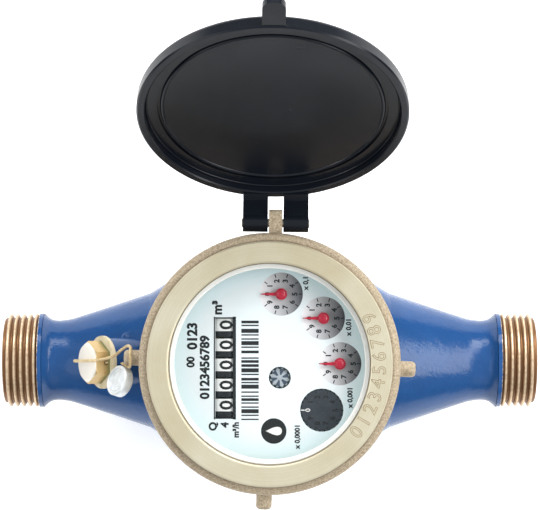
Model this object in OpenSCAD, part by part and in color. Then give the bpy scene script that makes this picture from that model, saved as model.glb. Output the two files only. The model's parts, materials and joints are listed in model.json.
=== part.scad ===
// Multi-jet water meter with a hinged lid, a screwed head ring and a dry register that turns in the head.
// Millimetres. X runs along the pipe with the flow, Z is up, the foot stands on Z = 0.

/* [Pipe ends] */
// Length over both threaded ends
length = 190; // [170:1:230]
// Height of the pipe axis above the foot
pipe_z = 36; // [35:0.5:38]
// Bore of each pipe end
bore_d = 20; // [16:0.5:21]
// Outside diameter of the thread crests
thread_d = 33.24; // [31:0.05:36]
// Thread pitch
thread_pitch = 2.309; // [1.8:0.001:2.6]
// Depth of the thread grooves
thread_depth = 1.4; // [0.8:0.1:1.6]
// Length of each thread
thread_len = 12.4; // [10:0.1:16]
// Diameter of the collar behind the thread
collar_d = 33.8; // [33.6:0.1:38]
// Length of the flared collar
collar_len = 2; // [1:0.1:4]
// Narrowest outside diameter of the pipe neck
neck_d = 27.4; // [26:0.1:30]
// Diameter where the cone runs into the neck
cone_end_d = 31; // [29:0.1:34]
// Distance of the cone's narrow end from the head axis
cone_reach = 68.6; // [64:0.1:70]
// Diameter of the cone where it leaves the bowl
cone_d = 48.4; // [44:0.2:50]

/* [Bowl and chamber] */
// Outside diameter of the bowl
bowl_d = 86; // [84:0.5:88]
// Diameter of the flat foot
foot_d = 56; // [40:1:58]
// Radius of the round between the bowl's side and its foot
bowl_round = 22; // [18:0.5:26]
// Diameter of the cavity round the measuring chamber
cavity_d = 68; // [66:0.5:70]
// Thickness of the bowl's floor
floor_t = 8; // [6:0.5:10]
// Height of the gallery below the web
lower_h = 25.5; // [24:0.5:27]
// Thickness of the web that parts the two galleries
web_t = 3.5; // [2:0.1:5]
// Height of the gallery above the web
upper_h = 15; // [14.6:0.1:18]
// Diameter of the channels from the pipes to the galleries
channel_d = 14; // [10:0.5:15]
// Outside diameter of the measuring chamber
cup_d = 50; // [44:0.5:52]
// Wall of the measuring chamber
cup_wall = 1.8; // [1.2:0.1:2.4]
// Number of jets round the chamber
jet_count = 12; // [6:1:16]
// Outside diameter of the strainer basket
strainer_d = 58.4; // [56:0.2:62]
// Wall of the strainer basket
strainer_wall = 1.2; // [0.8:0.1:2]
// Number of slots round the strainer
strainer_slots = 18; // [8:1:24]
// Diameter over the impeller vanes
impeller_d = 42; // [30:0.5:42]
// Number of impeller vanes
vane_count = 8; // [5:1:10]
// Thickness of a vane
vane_t = 1.4; // [1:0.1:2]
// Diameter of the pivot pin under the impeller
pivot_d = 2; // [1.6:0.1:3]
// Diameter of the coupling magnets
magnet_d = 18; // [12:0.5:22]
// Height of the coupling magnets
magnet_h = 3; // [2:0.1:3.4]
// Thickness of the pressure plate
plate_t = 4; // [3.4:0.1:6]

/* [Register] */
// Outside diameter of the register can
can_d = 72; // [71:0.2:74]
// Height of the register can
can_h = 22.4; // [21.6:0.1:26]
// Wall of the register can
can_wall = 1.2; // [0.8:0.1:1.4]
// Diameter of the opening in the white bezel
bezel_open_d = 65.4; // [64:0.2:66.6]
// Thickness of the glass
glass_t = 2; // [1.6:0.1:3]
// Thickness of the seal under the glass
gasket_t = 0.6; // [0.4:0.1:1]
// Thickness of the bezel's lip over the glass
bezel_lip = 0.8; // [0.6:0.1:1.2]
// Depth of the dial below the top of the can
dial_drop = 4.6; // [4.2:0.1:5.4]
// Thickness of the dial plate
dial_t = 0.8; // [0.6:0.1:1]
// Height of the gear plate above the can's floor
gear_plate_lift = 5.4; // [5:0.1:5.8]
// Thickness of the gear plate
gear_plate_t = 1.2; // [0.8:0.1:1.4]
// Radius of the circle on which the four small dials lie
small_dial_circle = 24.2; // [23.6:0.1:24.8]
// Radius of a small dial
small_dial_r = 7.45; // [6.8:0.05:7.6]
// Diameter of the arbors
arbor_d = 1.5; // [1.2:0.1:2]
// Diameter of a number drum
drum_d = 14; // [12:0.1:14.4]
// Spacing of the number drums
drum_pitch = 6.93; // [6.4:0.01:7.1]
// Gap between two drums
drum_gap = 0.6; // [0.4:0.05:0.9]
// Width of the window over the drums
window_w = 7.9; // [7:0.1:8.4]
// Diameter of the flow star's window
star_window_d = 7.6; // [6:0.1:8]
// Number of teeth on the flow star
star_teeth = 12; // [6:1:16]

/* [Head ring] */
// Thickness of the body's neck round the register
neck_wall = 4.9; // [4:0.1:5.4]
// Wall of the head ring
ring_wall = 3.5; // [3:0.1:5]
// Height of the head ring
ring_h = 23.9; // [20:0.1:24.2]
// Thickness of the ring's lip over the register
lip_t = 4.2; // [3.4:0.1:6]
// Diameter of the opening in the head ring
lip_d = 68.4; // [67.2:0.1:69]
// Diameter of the machined face of the ring
face_d = 84.2; // [80:0.1:84.6]
// Height of the machined face above the cast band
face_step = 2.6; // [1.5:0.1:3]
// Thickness of the slip ring under the lip
slip_t = 0.4; // [0.3:0.05:0.8]
// Turn of the head ring as it was tightened, in degrees
head_turn = -2.4; // [-30:0.1:30]
// Turn of the hinge pin from the line of the pipe, in degrees
hinge_turn = -0.7; // [-5:0.1:5]
// Diameter of the three pegs for the spanner
peg_d = 5.4; // [4:0.1:7]
// Reach of a peg beyond the ring
peg_len = 5.4; // [3:0.1:8]

/* [Lid and hinge] */
// Diameter of the lid
lid_d = 90.5; // [90:0.1:94]
// Height of the lid
lid_h = 5.6; // [5.4:0.1:8]
// Wall of the lid's rim
lid_rim = 2.9; // [1.6:0.1:3]
// Width of the ledge inside the rim
lid_ledge = 4; // [3:0.1:5]
// Diameter of the raised panel inside the lid
lid_panel_d = 74.5; // [60:0.5:76]
// Opening angle at which the lid rests on its stop
lid_open = 124.5; // [100:0.5:125]
// Height of the cast band above the hinge axis
hinge_drop = 8.4; // [7:0.1:10]
// Diameter of the hinge pin
hinge_pin_d = 3; // [2:0.1:3.6]
// Diameter of the hinge knuckles
knuckle_d = 6.2; // [5.6:0.1:6.6]
// Width of the lug on the ring
lug_w = 4.6; // [3:0.1:6]
// Width of each lid knuckle
knuckle_w = 8.6; // [5:0.1:10]
// Width of the lid's finger tab
tab_w = 7.6; // [5:0.1:12]
// Reach of the finger tab beyond the lid
tab_len = 10.8; // [5:0.1:12]

/* [Regulator] */
// Diameter of the regulator boss
boss_d = 17.2; // [16:0.1:19]
// Rise of the boss above the horizontal, in degrees
boss_tilt = 32; // [28:0.5:36]
// Distance of the boss's end face from the head axis
boss_x = 58; // [57:0.1:60]
// Height of the boss's end face above the pipe axis
boss_rise = 25.2; // [24:0.1:26]
// Length of the boss
boss_len = 24; // [20:0.5:28]
// Diameter of the pale gasket under the cap
gasket_d = 18.5; // [17:0.1:20]
// Thickness of the gasket under the cap
gasket_w = 1.2; // [0.8:0.1:2]
// Width of the hexagon cap across its flats
cap_af = 13; // [11:0.1:14.4]
// Length of the hexagon cap
cap_len = 5.8; // [4:0.1:8]
// Diameter of the regulating screw
screw_d = 6; // [5:0.1:6.6]
// Diameter of the twisted seal wire
wire_d = 0.9; // [0.6:0.05:1.2]
// Diameter of the seal button
button_d = 10.6; // [9:0.1:11]
// Thickness of the seal button
button_t = 3.8; // [3:0.1:4.4]

/* [Hidden] */
$fn = 72;

// Clearances: running fits, seats of pieces that stay put, and free room round what moves
run_fit = 0.05;
seat_fit = 0.1;
free_fit = 0.4;
// Small overlap that joins the solids of one piece
join = 0.5;
chamfer = 0.6;

// Heights, from the foot upwards
web_z0 = floor_t + lower_h;
web_z1 = web_z0 + web_t;
plate_z0 = web_z1 + upper_h;
can_z0 = plate_z0 + plate_t;
can_z1 = can_z0 + can_h;
glass_z0 = can_z1 + gasket_t;
glass_z1 = glass_z0 + glass_t;
bezel_z1 = glass_z1 + bezel_lip;
lip_z = bezel_z1 + slip_t;
face_z = lip_z + lip_t;
band_z = face_z - face_step;
ring_z0 = face_z - ring_h;
shoulder_z = ring_z0 - free_fit;
hinge_z = band_z - hinge_drop;

// Radii of the head, from the can outwards
can_r = can_d / 2;
neck_bore_r = can_r + free_fit;
neck_r = neck_bore_r + neck_wall;
ring_bore_r = neck_r + seat_fit;
ring_r = ring_bore_r + ring_wall;
hinge_y = ring_r + free_fit + knuckle_d / 2;

// Pipe profile stations, measured from the middle of the meter
end_x = length / 2;
thread_x = end_x - thread_len;
collar_x = thread_x - collar_len;
// A short body has its cone end before the collar
cone_end_x = min(cone_reach, collar_x - 2 * collar_len);
bowl_r = bowl_d / 2;
cavity_r = cavity_d / 2;
// Length of the cone that the straight bore still passes
bend_len = 14;

// Measuring chamber
cup_r = cup_d / 2;
cup_z0 = floor_t + 3;
cup_z1 = web_z1 + 8;
cup_flange_r = cavity_r - 2;
cup_flange_t = 2;
cover_t = 2.2;
cover_z1 = cup_z1 + cover_t;
spindle_r = 2.4;
impeller_z0 = cup_z0 + cup_wall + 1;
impeller_z1 = cup_z1 - 1.4;
pivot_depth = 9;
magnet_z0 = cover_z1 + 0.6;

// Register levels
can_floor = can_z0 + 1.6;
gear_plate_z0 = can_floor + gear_plate_lift;
gear_plate_z1 = gear_plate_z0 + gear_plate_t;
dial_z1 = can_z1 - dial_drop;
dial_z0 = dial_z1 - dial_t;
can_bore_r = can_r - can_wall;
dial_r = can_bore_r - seat_fit;
arbor_r = arbor_d / 2;
pointer_z0 = dial_z1 + 0.4;

// Angles of the four small dials, fastest first
small_dial_angles = [-42, -0.4, 40, 80.5];
function on_circle(a) = [small_dial_circle * cos(a), small_dial_circle * sin(a)];
small_dial_at = [for (a = small_dial_angles) on_circle(a)];
star_at = [3.5, -5];

// Gear train from the driven magnet to the slowest pointer: tooth counts, and levels above the gear plate
pinion_z = 8;
star_z = 16;
idler_z = 25;
disc_z = 27;
tenth_pinion_z = 10;
tenth_wheel_z = 32;
gear_t = 1.7;
gear_gap = 0.6;
first_mesh_level = [0, 2, 1];
second_mesh_level = [1, 0, 2];
// Coarser teeth in a pointer stage's first mesh, and room to swing its idler off the straight line
coarse = 1.35;
gear_slack = 1.004;
// Tooth form in modules, and half widths as shares of the pitch
tooth_root = 1.3;
tooth_tip = 0.75;
tooth_root_w = 0.2;
tooth_tip_w = 0.1;

function level_z(i) = gear_plate_z1 + 0.8 + i * (gear_t + gear_gap);
function heading(p, q) = atan2(q[1] - p[1], q[0] - p[0]);
// Point that lies a from p and b from q, to the left of the way from p to q where side is 1
function meet(p, q, a, b, side) = let (d = norm(q - p), u = (q - p) / d, x = (d * d + a * a - b * b) / (2 * d))
    p + x * u + side * sqrt(a * a - x * x) * [-u[1], u[0]];
// Turn of a wheel of z2 teeth that meshes with a pinion of z1 teeth, whose first tooth points along X
function mesh(z1, z2, phi) = phi + 180 - 180 / z2 + phi * z1 / z2;

// Modules follow from the distances that the wheels bridge
star_m = 2 * norm(star_at) / (pinion_z + star_z);
disc_m = 2 * norm(small_dial_at[0] - star_at) * gear_slack / (2 * pinion_z + idler_z + disc_z);
reduction_at = meet(star_at, small_dial_at[0], disc_m * (pinion_z + idler_z) / 2, disc_m * (pinion_z + disc_z) / 2, 1);
function fine_m(k) = 2 * norm(small_dial_at[k] - small_dial_at[k - 1]) * gear_slack
    / (coarse * (pinion_z + idler_z) + tenth_pinion_z + tenth_wheel_z);
function coarse_m(k) = coarse * fine_m(k);
function idler_at(k) = meet(small_dial_at[k - 1], small_dial_at[k], coarse_m(k) * (pinion_z + idler_z) / 2,
    fine_m(k) * (tenth_pinion_z + tenth_wheel_z) / 2, -1);

// Number drums: their axis lies along Y under the window
drum_count = 5;
drum_x = -14.85;
drum_y = -1.65;
drum_r = drum_d / 2;
drum_z = dial_z0 - drum_r + 0.2;
drum_shaft_r = 1;
drum_row = drum_count * drum_pitch;
drum_wall_t = 1.4;

// Posts between the gear plate and the dial
post_r = 1.6;
post_at = [[-28, 14], [-28, -14], [4, -29]];

// Small cast lump beside the boss
lump_r = 2.4;
lump_at = [-bowl_r - lump_r * 3, lump_r * 3.4, pipe_z + lump_r * 7.5];

// Regulator frame: the boss's end face
boss_end = [-boss_x, 0, pipe_z + boss_rise];
boss_bore_d = screw_d + 2 * seat_fit;
cap_face = gasket_w + cap_len;

// Seal wire: its route from the cap, round the left peg and down to the seal button
wire_route = [[-56.6, 0, 68.6], [-60.3, 0, 62.6], [-64, 0, 56.7], [-65.9, 0, 56.5], [-68.2, 0.3, 58.1],
    [-68.1, 0.4, 60.2], [-64.6, 0.6, 65.3], [-61.5, 0.8, 70.5], [-59.6, 1, 71.1], [-56.5, 1.6, 71],
    [-53.5, 2.8, 72], [-51, 4.8, 73], [-49, 6, 74.6], [-47.9, 5.4, 76.5], [-47.9, 3.8, 78.8], [-47.9, 1, 79.1],
    [-48.1, -1, 77.3], [-48.8, -1.2, 75], [-50.2, -0.5, 73], [-51.2, 0, 71.9]];
wire_sides = 8;
// Middle and facing of the seal button
button_from_boss = [6.3, -6.3, 12.1];
button_at = boss_end + button_from_boss;
button_turn = [0, -52, -20];

// Points of an arc from angle a to angle b
function arc(c, r, a, b, n = 8) = [for (i = [0:n]) c + r * [cos(a + (b - a) * i / n), sin(a + (b - a) * i / n)]];

// Outline of one pipe end, from the bowl to the thread
function cone_outline() = [[bowl_r - 8, cone_d / 2 + 5], [bowl_r, cone_d / 2],
    [cone_end_x - 2, cone_end_d / 2 + 0.8], [cone_end_x + 2, cone_end_d / 2 - 0.6], [collar_x - 1, neck_d / 2],
    [collar_x, neck_d / 2 + 0.3], [collar_x + 0.5, collar_d / 2], [thread_x, collar_d / 2],
    [thread_x, thread_d / 2 - thread_depth]];

// One thread ridge: its flank, crest and flank, starting at x
function ridge(x) = [[x + thread_pitch * 0.1, thread_d / 2 - thread_depth], [x + thread_pitch * 0.38, thread_d / 2],
    [x + thread_pitch * 0.62, thread_d / 2], [x + thread_pitch * 0.9, thread_d / 2 - thread_depth]];

// Both pipe ends turned about the pipe axis as one piece
module pipes() {
    ridges = floor((thread_len - 0.4) / thread_pitch);
    crests = [for (i = [0:ridges - 1]) each ridge(thread_x + i * thread_pitch)];
    root_r = thread_d / 2 - thread_depth;
    right = concat(cone_outline(), crests, [[end_x - 0.3, root_r], [end_x, root_r - 0.5]]);
    left = [for (i = [len(right) - 1:-1:0]) [-right[i][0], right[i][1]]];
    section = concat([[-end_x, 0]], left, right, [[end_x, 0]]);
    translate([0, 0, pipe_z])
        rotate([90, 0, 90])
            rotate_extrude()
                polygon([for (p = section) [p[1], p[0]]]);
}

module bowl() {
    rotate_extrude()
        polygon(concat([[0, 0], [foot_d / 2 - 1, 0], [foot_d / 2, 1]],
            arc([bowl_r - bowl_round, bowl_round + 2], bowl_round, -70, 0),
            [[bowl_r, shoulder_z - 1], [bowl_r - 1, shoulder_z], [neck_r, shoulder_z], [neck_r, lip_z - 1.6],
            [neck_r - chamfer, lip_z - 1], [0, lip_z - 1]]));
}

module bowl_cavity() {
    rotate_extrude()
        polygon([[0, floor_t], [strainer_d / 2 + 0.8, floor_t], [cavity_r, floor_t + 5], [cavity_r, web_z0],
            [cup_r + free_fit, web_z0], [cup_r + free_fit, web_z1], [cavity_r, web_z1], [cavity_r, plate_z0],
            [neck_bore_r, plate_z0], [neck_bore_r, lip_z], [0, lip_z]]);
}

// Straight bore of one pipe end and the slanted channel to its gallery, on the +X side
module waterway(gallery_z) {
    bend_x = cone_end_x - bend_len;
    inner_x = cavity_r - 5;
    fall = gallery_z - pipe_z;
    run = bend_x - inner_x;
    reach = sqrt(run * run + fall * fall);
    translate([bend_x, 0, pipe_z]) {
        rotate([0, 90, 0])
            cylinder(d = bore_d, h = end_x - bend_x + 1);
        sphere(d = channel_d);
        rotate([0, -90 + atan2(fall, run), 0])
            cylinder(d = channel_d, h = reach);
    }
}

// Places children on the regulator's axis: the end face of the boss is at the origin, +Z leaves the body
module on_boss() {
    translate(boss_end)
        rotate([0, boss_tilt - 90, 0])
            children();
}

module body_casting() {
    color("royalblue")
        difference() {
            union() {
                bowl();
                pipes();
                difference() {
                    on_boss()
                        translate([0, 0, -boss_len])
                            cylinder(d = boss_d, h = boss_len);
                    translate([0, 0, shoulder_z])
                        cylinder(r = ring_r + free_fit, h = ring_h);
                }
                // Cast lump beside the boss
                translate(lump_at)
                    sphere(r = lump_r);
            }
            bowl_cavity();
            waterway(web_z1 + upper_h / 2);
            mirror([1, 0, 0])
                waterway(floor_t + lower_h / 2);
            on_boss()
                translate([0, 0, -boss_len * 0.7])
                    cylinder(d = boss_bore_d, h = boss_len);
        }
}

module chamber_strainer() {
    slot_h = lower_h - 7;
    slot_w = PI * strainer_d / strainer_slots * 0.4;
    color("gainsboro")
        translate([0, 0, floor_t])
            difference() {
                cylinder(d = strainer_d, h = lower_h);
                translate([0, 0, -1])
                    cylinder(d = strainer_d - 2 * strainer_wall, h = lower_h + 2);
                for (i = [0:strainer_slots - 1])
                    rotate(i * 360 / strainer_slots)
                        translate([strainer_d / 2 - 2 * strainer_wall, -slot_w / 2, 3])
                            cube([strainer_wall * 4, slot_w, slot_h]);
            }
}

// A ring of tangential jets through the chamber's wall
module jets(z, h) {
    for (i = [0:jet_count - 1])
        rotate(i * 360 / jet_count)
            translate([cup_r * 0.6, cup_r * 0.55, z])
                cube([cup_r, 2.6, h]);
}

module chamber_cup() {
    color("whitesmoke")
        difference() {
            union() {
                translate([0, 0, cup_z0])
                    cylinder(r = cup_r, h = cup_z1 - cup_z0);
                translate([0, 0, web_z1])
                    cylinder(r = cup_flange_r, h = cup_flange_t);
                // Feet that stand the chamber on the bowl's floor
                for (a = [0, 120, 240])
                    rotate(a)
                        translate([cup_r - 6, 0, floor_t])
                            cylinder(r = 2, h = cup_z0 - floor_t + join);
            }
            translate([0, 0, cup_z0 + cup_wall])
                cylinder(r = cup_r - cup_wall, h = cup_z1);
            jets(cup_z0 + 5, 8);
            mirror([0, 1, 0])
                jets(web_z1 + cup_flange_t + 0.8, 3.6);
            translate([0, 0, cup_z0 - 1])
                cylinder(r = pivot_d / 2 + seat_fit / 2, h = cup_wall + 2);
        }
}

module chamber_cover() {
    color("whitesmoke")
        difference() {
            union() {
                translate([0, 0, cup_z1])
                    cylinder(r = cup_r, h = cover_t);
                translate([0, 0, cup_z1 - 1])
                    cylinder(r = cup_r - cup_wall - seat_fit, h = 1 + join);
            }
            translate([0, 0, cup_z1 - 2])
                cylinder(r = spindle_r + free_fit, h = cover_t + 3);
        }
}

module impeller_pivot() {
    color("silver")
        translate([0, 0, cup_z0])
            cylinder(d = pivot_d, h = impeller_z0 + 8 - cup_z0);
}

module impeller() {
    hub_h = impeller_z1 - impeller_z0;
    hub_r = 4;
    color("orange")
        difference() {
            union() {
                translate([0, 0, impeller_z0])
                    cylinder(r = hub_r, h = hub_h);
                translate([0, 0, impeller_z0 + hub_h / 2 - 0.6])
                    cylinder(r = impeller_d / 4, h = 1.2);
                for (i = [0:vane_count - 1])
                    rotate(i * 360 / vane_count)
                        translate([hub_r - join, -vane_t / 2, impeller_z0 + join])
                            cube([impeller_d / 2 - hub_r + join, vane_t, hub_h - 2 * join]);
                translate([0, 0, impeller_z1 - join])
                    cylinder(r = spindle_r, h = magnet_z0 + magnet_h - impeller_z1 + join);
            }
            translate([0, 0, impeller_z0 - 1])
                cylinder(r = pivot_d / 2 + run_fit, h = pivot_depth + run_fit);
        }
}

module impeller_magnet() {
    color("dimgray")
        translate([0, 0, magnet_z0])
            difference() {
                cylinder(d = magnet_d, h = magnet_h);
                translate([0, 0, -1])
                    cylinder(r = spindle_r + seat_fit / 2, h = magnet_h + 2);
            }
}

module pressure_plate() {
    color("lightgray")
        difference() {
            union() {
                translate([0, 0, plate_z0])
                    cylinder(r = neck_bore_r - seat_fit, h = plate_t);
                // Ribs under the plate
                for (a = [30:60:330])
                    rotate(a)
                        translate([magnet_d / 2 + 3, -1, plate_z0 - 2])
                            cube([cup_flange_r - magnet_d / 2 - 4, 2, 2 + join]);
            }
            // Groove for the seal ring
            translate([0, 0, plate_z0 - 1])
                difference() {
                    cylinder(r = neck_bore_r + 1, h = 3.2);
                    translate([0, 0, -1])
                        cylinder(r = neck_bore_r - 2.4, h = 6);
                }
        }
}

module body_seal_ring() {
    color("black")
        translate([0, 0, plate_z0 + 1.1])
            rotate_extrude()
                translate([neck_bore_r - 1.25, 0])
                    circle(r = 1.02);
}

module ring_profile() {
    round_r = 2.2;
    edge_r = 1.2;
    polygon(concat([[ring_bore_r, ring_z0], [ring_r - 1, ring_z0], [ring_r, ring_z0 + 1]],
        arc([ring_r - round_r, band_z - round_r], round_r, 0, 90),
        [[face_d / 2, band_z], [face_d / 2, face_z - chamfer], [face_d / 2 - chamfer, face_z]],
        arc([lip_d / 2 + edge_r, face_z - edge_r], edge_r, 90, 180),
        [[lip_d / 2, lip_z], [ring_bore_r, lip_z]]));
}

// Spanner peg with a rounded end, pointing along +X from the ring's wall
module peg() {
    translate([ring_r - ring_wall / 2, 0, hinge_z])
        rotate([0, 90, 0])
            rotate_extrude()
                polygon(concat([[0, 0], [peg_d / 2, 0]],
                    arc([peg_d / 2 - 1.4, peg_len + ring_wall / 2 - 1.4], 1.4, 0, 90, 5),
                    [[0, peg_len + ring_wall / 2]]));
}

// Outline of the ring's hinge lug: y outwards, z up, with the hinge axis at the origin
module lug_outline() {
    nose = knuckle_d / 2 + 1.5;
    back = hinge_y - ring_r + ring_wall / 2;
    polygon(concat([[-back, -knuckle_d / 2 - 3]], arc([nose - 1.6, -knuckle_d / 2 + 1.6], 1.6, -90, 0, 5),
        arc([nose - 1.6, knuckle_d / 2 - 1.6], 1.6, 0, 90, 5), [[-back, knuckle_d / 2]]));
}

// Places children at the hinge: X along the pin, the lid closes towards -Y
module at_hinge() {
    translate([-hinge_y * sin(head_turn), hinge_y * cos(head_turn), hinge_z])
        rotate(hinge_turn)
            children();
}

// Extrudes a hinge outline to a width w that starts at x
module across_hinge(x, w) {
    translate([x, 0, 0])
        rotate([90, 0, 90])
            linear_extrude(w)
                children();
}

module head_ring() {
    color("peru")
        difference() {
            union() {
                rotate_extrude()
                    ring_profile();
                rotate(head_turn)
                    for (a = [0, 180, 270])
                        rotate(a)
                            peg();
                at_hinge()
                    across_hinge(-lug_w / 2, lug_w)
                        lug_outline();
            }
            at_hinge()
                across_hinge(-lug_w, 2 * lug_w)
                    circle(d = hinge_pin_d + seat_fit / 2);
        }
}

module slip_ring() {
    color("white")
        translate([0, 0, bezel_z1])
            difference() {
                cylinder(r = can_r, h = slip_t);
                translate([0, 0, -1])
                    cylinder(r = lip_d / 2 + 0.3, h = slip_t + 2);
            }
}

hinge_half = lug_w / 2 + free_fit + knuckle_w;

module hinge_pin() {
    color("silver")
        at_hinge()
            across_hinge(-hinge_half - 0.4, 2 * hinge_half + 0.8)
                circle(d = hinge_pin_d);
}

// Lid section from its axis outwards; z = 0 is the edge of the rim, z rises into the lid
module lid_profile() {
    rim_r = lid_d / 2 - lid_rim;
    ledge_z = face_step + free_fit;
    panel_r = lid_panel_d / 2;
    groove_r = rim_r - lid_ledge;
    groove_z = ledge_z + 0.7;
    crown_r = 1.8;
    polygon(concat([[0, ledge_z], [panel_r - 0.8, ledge_z], [panel_r, ledge_z + 0.5], [panel_r, groove_z]],
        [[groove_r, groove_z], [groove_r, ledge_z], [rim_r, ledge_z], [rim_r, 0.4], [rim_r + 0.4, 0]],
        [[lid_d / 2 - 0.5, 0], [lid_d / 2, 0.5]],
        arc([lid_d / 2 - crown_r, lid_h - crown_r], crown_r, 0, 90, 6),
        [[lid_d / 2 - 8, lid_h + 0.5], [0, lid_h + 0.7]]));
}

// Outline of a lid arm: the knuckle on the axis and the strap that rises to the lid's rim
module arm_outline(edge_z) {
    strap = knuckle_d / 2 - 0.2;
    inner = lid_d / 2 - hinge_y;
    circle(d = knuckle_d);
    polygon([[-strap, 0], [strap, 0], [strap, edge_z + 1], [strap - 2.4, edge_z + 4], [inner - 2.4, edge_z + 4],
        [inner - 2.4, edge_z + 0.2], [-strap, edge_z - 1]]);
}

module closed_lid() {
    edge_z = hinge_drop + free_fit / 2;
    arm_x = lug_w / 2 + free_fit;
    // The head's axis as the hinge sees it
    lid_at = hinge_y * [sin(head_turn - hinge_turn), -cos(head_turn - hinge_turn)];
    difference() {
        union() {
            translate([lid_at[0], lid_at[1], edge_z])
                rotate_extrude()
                    lid_profile();
            for (x = [arm_x, -arm_x - knuckle_w])
                across_hinge(x, knuckle_w)
                    arm_outline(edge_z);
            // Finger tab at the far side of the rim
            translate([lid_at[0], lid_at[1] - lid_d / 2 + join, edge_z + 0.6])
                linear_extrude(2.4)
                    polygon(concat([[tab_w / 2, 0], [-tab_w / 2, 0]],
                        arc([-tab_w / 2 + 3, -tab_len + 3 - join], 3, 180, 270, 6),
                        arc([tab_w / 2 - 3, -tab_len + 3 - join], 3, 270, 360, 6)));
        }
        across_hinge(-hinge_half - 1, 2 * hinge_half + 2)
            circle(d = hinge_pin_d + 2 * run_fit);
    }
}

module lid() {
    color("darkslategray")
        at_hinge()
            rotate([-lid_open, 0, 0])
                closed_lid();
}

module regulator_screw() {
    depth = boss_len * 0.7 - 2;
    color("goldenrod")
        on_boss()
            difference() {
                translate([0, 0, -depth])
                    cylinder(d = screw_d, h = depth - 1);
                translate([0, 0, -depth / 2])
                    difference() {
                        cylinder(d = screw_d + 2, h = 2);
                        translate([0, 0, -1])
                            cylinder(d = screw_d - 2, h = 4);
                    }
                translate([-screw_d, -0.5, -2.2])
                    cube([2 * screw_d, 1, 3]);
            }
}

module regulator_oring() {
    depth = boss_len * 0.7 - 2;
    color("black")
        on_boss()
            translate([0, 0, -depth / 2 + 1])
                rotate_extrude()
                    translate([screw_d / 2 - 0.45, 0])
                        circle(r = 0.5);
}

module cap_gasket() {
    color("cornsilk")
        on_boss()
            difference() {
                cylinder(d = gasket_d, h = gasket_w);
                translate([0, 0, -1])
                    cylinder(d = boss_bore_d + 0.4, h = gasket_w + 2);
            }
}

module regulator_cap() {
    color("darkkhaki")
        on_boss()
            translate([0, 0, gasket_w])
                difference() {
                    // Hexagon with its corners chamfered at the face
                    intersection() {
                        rotate(90)
                            cylinder(d = cap_af / cos(30), h = cap_len, $fn = 6);
                        rotate_extrude()
                            polygon([[0, 0], [cap_af, 0], [cap_af, cap_len - 3.4], [cap_af / 2 - 0.4, cap_len],
                                [0, cap_len]]);
                    }
                    // Hole for the seal wire across the cap
                    translate([0, 0, 1.5])
                        rotate([0, 90, 0])
                            cylinder(d = wire_d + 0.8, h = 2 * cap_af, center = true);
                }
}

// Tube of a given diameter along a list of points
module tube(points, d, sides) {
    n = len(points);
    function unit(v) = v / norm(v);
    function heading(i) = unit(points[min(i + 1, n - 1)] - points[max(i - 1, 0)]);
    function side(t) = unit(cross(t, abs(t[2]) > 0.9 ? [1, 0, 0] : [0, 0, 1]));
    rings = [for (i = [0:n - 1]) let (t = heading(i), u = side(t), v = cross(u, t))
        for (k = [0:sides - 1]) points[i] + d / 2 * (cos(k * 360 / sides) * u + sin(k * 360 / sides) * v)];
    walls = [for (i = [0:n - 2]) for (k = [0:sides - 1])
        [i * sides + k, i * sides + (k + 1) % sides, (i + 1) * sides + (k + 1) % sides, (i + 1) * sides + k]];
    first = [for (k = [0:sides - 1]) sides - 1 - k];
    last = [for (k = [0:sides - 1]) (n - 1) * sides + k];
    polyhedron(points = rings, faces = concat(walls, [first], [last]));
}

module seal_wire() {
    color("silver")
        tube(wire_route, wire_d, wire_sides);
}

module seal_button() {
    rim = 0.9;
    color("silver")
        translate(button_at)
            rotate(button_turn)
                rotate_extrude()
                    polygon([[0, -button_t / 2], [button_d / 2 - 0.6, -button_t / 2],
                        [button_d / 2, -button_t / 2 + 0.6], [button_d / 2, button_t / 2 - 0.4],
                        [button_d / 2 - 0.4, button_t / 2], [button_d / 2 - rim, button_t / 2],
                        [button_d / 2 - rim - 0.3, button_t / 2 - 0.5], [0, button_t / 2 - 0.5]]);
}

module register_can() {
    color("tan")
        difference() {
            union() {
                difference() {
                    translate([0, 0, can_z0])
                        cylinder(r = can_r, h = can_h);
                    translate([0, 0, can_floor])
                        cylinder(r = can_bore_r, h = can_h);
                }
                // Bosses that carry the gear plate
                for (a = [20, 140, 260])
                    rotate(a)
                        translate([can_bore_r - 2.4, 0, can_floor - join])
                            cylinder(r = 2.2, h = gear_plate_lift + join);
            }
        }
}

module gear_plate() {
    wall_y = drum_row / 2 + 0.3;
    cut_w = drum_d + 1;
    color("whitesmoke")
        difference() {
            union() {
                translate([0, 0, gear_plate_z0])
                    cylinder(r = can_bore_r - 0.6, h = gear_plate_t);
                // Bearing walls of the drum shaft
                for (y = [drum_y + wall_y, drum_y - wall_y - drum_wall_t])
                    translate([drum_x - 3, y, gear_plate_z1 - join])
                        cube([6, drum_wall_t, drum_z + 2.4 - gear_plate_z1 + join]);
            }
            translate([drum_x - cut_w / 2, drum_y - wall_y, gear_plate_z0 - 1])
                cube([cut_w, 2 * wall_y, gear_plate_t + 2]);
            translate([drum_x, drum_y, drum_z])
                rotate([90, 0, 0])
                    cylinder(r = drum_shaft_r + seat_fit / 2, h = 2 * drum_row, center = true);
            for (p = concat(small_dial_at, [star_at, [0, 0], reduction_at], [for (k = [1:3]) idler_at(k)]))
                translate([p[0], p[1], gear_plate_z0 - 1])
                    cylinder(r = arbor_r + run_fit, h = gear_plate_t + 2);
        }
}

module plate_posts() {
    color("goldenrod")
        for (p = post_at)
            translate([p[0], p[1], gear_plate_z1])
                cylinder(r = post_r, h = dial_z0 - gear_plate_z1);
}

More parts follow.
